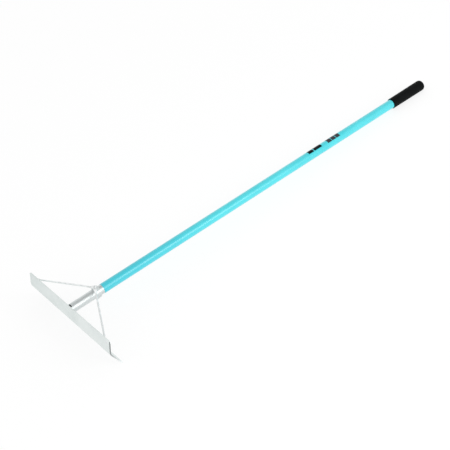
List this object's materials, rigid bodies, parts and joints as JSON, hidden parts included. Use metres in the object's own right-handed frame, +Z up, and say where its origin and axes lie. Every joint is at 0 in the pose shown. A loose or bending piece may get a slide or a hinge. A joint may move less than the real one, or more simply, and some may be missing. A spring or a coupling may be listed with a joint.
{
  "type": "concrete placer",
  "caption": "Long-handled concrete placer: a wide bent blade on a socket tube with two angled brace rods, a round blue handle and a black hand grip.",
  "frame": {"origin": "on the floor, under the middle of the box around the tool as it lies on its blade edge and the end of its grip", "axes": "+X along the blade, +Y from the blade to the grip, +Z up"},
  "size_m": [0.5, 1.5984, 0.102],
  "materials": {
    "blade_metal": "satin mill finish",
    "socket_metal": "bright drawn tube",
    "weld_metal": "dull weld bead",
    "brace_metal": "bright zinc plate",
    "fastener_metal": "bright zinc plate",
    "rivet_metal": "satin",
    "handle_coating": "semi-gloss sky-blue powder coat",
    "grip_rubber": "matte black",
    "plug_plastic": "matte black",
    "label_film": "gloss film printed with plain bars"
  },
  "bodies": {
    "root": {"blade": "blade_metal", "socket_tube": "socket_metal", "socket_weld": "weld_metal", "socket_plug": "plug_plastic", "upper_saddle": "socket_metal", "lower_saddle": "socket_metal", "left_brace": "brace_metal", "right_brace": "brace_metal", "brace_bolt": "fastener_metal", "brace_nut": "fastener_metal", "blade_rivets": "rivet_metal", "handle_tube": "handle_coating", "handle_rivets": "rivet_metal", "handle_end_plug": "plug_plastic", "grip": "grip_rubber", "label": "label_film"}
  },
  "joints": []
}
